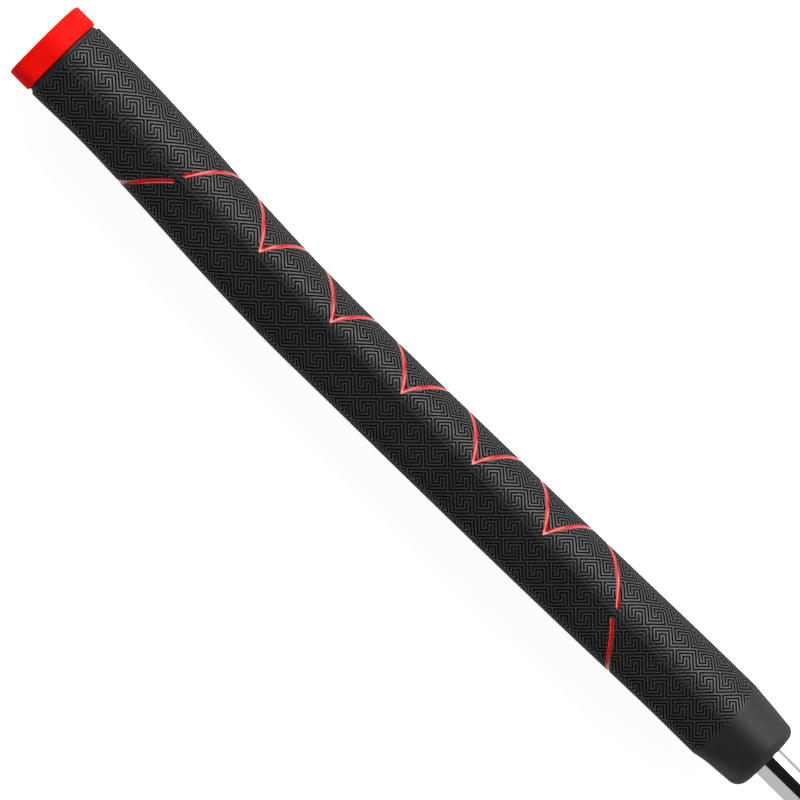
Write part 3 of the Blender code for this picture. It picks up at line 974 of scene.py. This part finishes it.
def add_shaft(material):
    start = SHAFT_LOW.x - AXIS.x
    end = SHAFT_HIGH.x - AXIS.x
    inner = SHAFT_RADIUS - SHAFT_WALL
    rings = [
        circle_ring(start + SHAFT_BEVEL, SHAFT_RADIUS),
        circle_ring(end - SHAFT_BEVEL, SHAFT_RADIUS),
        circle_ring(end, SHAFT_RADIUS - SHAFT_BEVEL),
        circle_ring(end, inner + SHAFT_BEVEL),
        circle_ring(end - SHAFT_BEVEL, inner),
        circle_ring(start + SHAFT_BEVEL, inner),
        circle_ring(start, inner + SHAFT_BEVEL),
        circle_ring(start, SHAFT_RADIUS - SHAFT_BEVEL),
    ]
    piece = add_rings("chromed_shaft", rings, material, "shaft", 60.0)
    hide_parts("shaft")


def add_tape(material):
    """Tape wound round the shaft, each turn lapped a little over the last."""
    start = TAPE_LOW.x - AXIS.x
    end = TAPE_HIGH.x - AXIS.x
    angle = np.arange(4 * RING_QUARTER) * math.pi / 2 / RING_QUARTER
    rings = []
    for x in np.linspace(start, end, FINE_STATIONS):
        turn = np.mod(x / TAPE_PITCH + angle / (2 * math.pi), 1.0)
        radius = TAPE_RADIUS - TAPE_LAP * smoothstep((turn - 0.12) / 0.03)
        ring = np.stack([0 * angle + x, radius * np.sin(angle), radius * np.cos(angle)], axis=-1)
        rings.append(ring)
    rings.append(circle_ring(end, TAPE_RADIUS - TAPE_THICKNESS))
    rings.append(circle_ring(start, TAPE_RADIUS - TAPE_THICKNESS))
    piece = add_rings("wound_tape", rings, material, "shaft", 40.0)
    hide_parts("grip_tape")


# ---------------------------------------------------------------- stage, light and view

def camera_axes():
    """The view's right, up and towards-the-camera directions."""
    toward = Vector((0.0, math.sin(VIEW_TILT), math.cos(VIEW_TILT)))
    across = Vector((0.0, math.cos(VIEW_TILT), -math.sin(VIEW_TILT)))
    along = Vector((1.0, 0.0, 0.0))
    turned_along = (along - across * VIEW_ROLL).normalized()
    turned_across = (across + along * VIEW_ROLL).normalized()
    right = (turned_along + turned_across).normalized()
    up = (turned_across - turned_along).normalized()
    return right, up, toward


def add_camera():
    right, up, toward = camera_axes()
    target = AXIS + Vector((VIEW_X, VIEW_Y / math.cos(VIEW_TILT), 0.0))
    camera = bpy.data.cameras.new("camera")
    camera.sensor_width = 36.0
    camera.lens = 36.0 * VIEW_DISTANCE / VIEW_WIDTH
    camera.clip_start = 0.01
    camera.clip_end = 20.0
    made = bpy.data.objects.new("camera", camera)
    bpy.context.scene.collection.objects.link(made)
    turn = Matrix((right, up, toward)).transposed().to_4x4()
    made.matrix_world = Matrix.Translation(target + toward * (VIEW_DISTANCE + HALF_WIDTH)) @ turn
    bpy.context.scene.camera = made


def add_floor():
    mesh = bpy.data.meshes.new("floor")
    corners = [(x * FLOOR_HALF, y * FLOOR_HALF, 0) for x, y in ((-1, -1), (1, -1), (1, 1), (-1, 1))]
    mesh.from_pydata(corners, [], [(0, 1, 2, 3)])
    made = bpy.data.objects.new("floor", mesh)
    bpy.context.scene.collection.objects.link(made)
    material, shader = principled("white_floor", (0.9, 0.9, 0.9), 0.9)
    grain = spread(material, noise(material, 40.0), 0.88, 0.94)
    material.node_tree.links.new(grain, shader.inputs["Roughness"])
    shader.inputs["Specular IOR Level"].default_value = 0.0
    shader.inputs["Emission Color"].default_value = (1.0, 1.0, 1.0, 1.0)
    shader.inputs["Emission Strength"].default_value = FLOOR_GLOW
    mesh.materials.append(material)


def glow(tree, direction, towards, inner, outer, low, high):
    """A value that is high within inner degrees of towards and low outside outer degrees."""
    near = tree.nodes.new("ShaderNodeVectorMath")
    near.operation = "DOT_PRODUCT"
    near.inputs[1].default_value = towards
    tree.links.new(direction, near.inputs[0])
    made = tree.nodes.new("ShaderNodeMapRange")
    made.interpolation_type = "SMOOTHSTEP"
    made.inputs["From Min"].default_value = math.cos(math.radians(outer))
    made.inputs["From Max"].default_value = math.cos(math.radians(inner))
    made.inputs["To Min"].default_value = low
    made.inputs["To Max"].default_value = high
    tree.links.new(near.outputs["Value"], made.inputs["Value"])
    return made.outputs["Result"]


def combine(tree, operation, first, second):
    made = tree.nodes.new("ShaderNodeMath")
    made.operation = operation
    for i, source in enumerate((first, second)):
        if isinstance(source, float):
            made.inputs[i].default_value = source
        else:
            tree.links.new(source, made.inputs[i])
    return made.outputs["Value"]


def add_world():
    """A soft studio: a dark gap overhead, even light around, and a long bright panel at the back."""
    world = bpy.data.worlds.new("studio")
    bpy.context.scene.world = world
    world.use_nodes = True
    tree = world.node_tree
    background = tree.nodes["Background"]
    place = tree.nodes.new("ShaderNodeTexCoord")
    flatten = tree.nodes.new("ShaderNodeVectorMath")
    flatten.operation = "MULTIPLY"
    flatten.inputs[1].default_value = (SPREAD_ALONG, 1.0, 1.0)
    tree.links.new(place.outputs["Generated"], flatten.inputs[0])
    unit = tree.nodes.new("ShaderNodeVectorMath")
    unit.operation = "NORMALIZE"
    tree.links.new(flatten.outputs["Vector"], unit.inputs[0])
    direction = unit.outputs["Vector"]
    mask = glow(tree, direction, camera_axes()[2], GAP_INNER, GAP_OUTER, 1.0, OVERHEAD)
    lean = math.radians(PANEL_LEAN)
    towards = (0.0, math.sin(lean), math.cos(lean))
    panel = glow(tree, direction, towards, PANEL_INNER, PANEL_OUTER, 0.0, PANEL)
    total = combine(tree, "ADD", panel, AROUND)
    total = combine(tree, "MULTIPLY", total, mask)
    tree.links.new(total, background.inputs["Strength"])
    background.inputs["Color"].default_value = (1.0, 1.0, 1.0, 1.0)


# ---------------------------------------------------------------- the whole grip

add_camera()
add_floor()
add_world()
bpy.context.scene.view_settings.view_transform = "Standard"

rubber = rubber_material(
    "black_grip_rubber", (0.011, 0.011, 0.0113), (0.016, 0.016, 0.0162), 0.42, 0.54, 0.00002, 0.45
)
# The same black rubber made darker and less reflective for the groove floors and walls: painted shade
# in the recesses.
painted_groove_shade = rubber_material(
    "black_rubber_shaded_grooves", (0.0015, 0.0015, 0.0015), (0.003, 0.003, 0.003), 0.8, 0.9, 0.00002, 0.1
)
smooth_rubber = rubber_material(
    "smooth_black_rubber", (0.006, 0.006, 0.006), (0.009, 0.009, 0.0085), 0.48, 0.60, 0.00001, 0.25
)
cap_rubber = rubber_material(
    "red_cap_rubber", (0.60, 0.0025, 0.001), (0.68, 0.005, 0.002), 0.5, 0.6, 0.00001, 0.04
)
paint = paint_material()

add_core(smooth_rubber)
zigzags = lattice_knots()
add_skin(True, zigzags, rubber, painted_groove_shade)
butt_line = front_line(FRONT_LINE_BUTT, -FRONT_LINE_BUTT_BOW, FRONT_LINE_POINTS)
mouth_line = front_line(FRONT_LINE_MOUTH, FRONT_LINE_MOUTH_BOW, FRONT_LINE_POINTS)
add_skin(False, [butt_line, mouth_line], rubber, painted_groove_shade)
add_flash(smooth_rubber)
fine_zigzags = [subdivided(knots, PAINT_STEP) for knots in zigzags]
add_paint("lattice_paint", "back_lattice", fine_zigzags, True, paint)
butt_line = front_line(FRONT_LINE_BUTT, -FRONT_LINE_BUTT_BOW, FRONT_PAINT_POINTS)
mouth_line = front_line(FRONT_LINE_MOUTH, FRONT_LINE_MOUTH_BOW, FRONT_PAINT_POINTS)
add_paint("butt_line_paint", "front_line_butt", [butt_line], False, paint)
add_paint("mouth_line_paint", "front_line_mouth", [mouth_line], False, paint)
add_cap(cap_rubber)
add_shaft(chrome_material())
add_tape(tape_material())
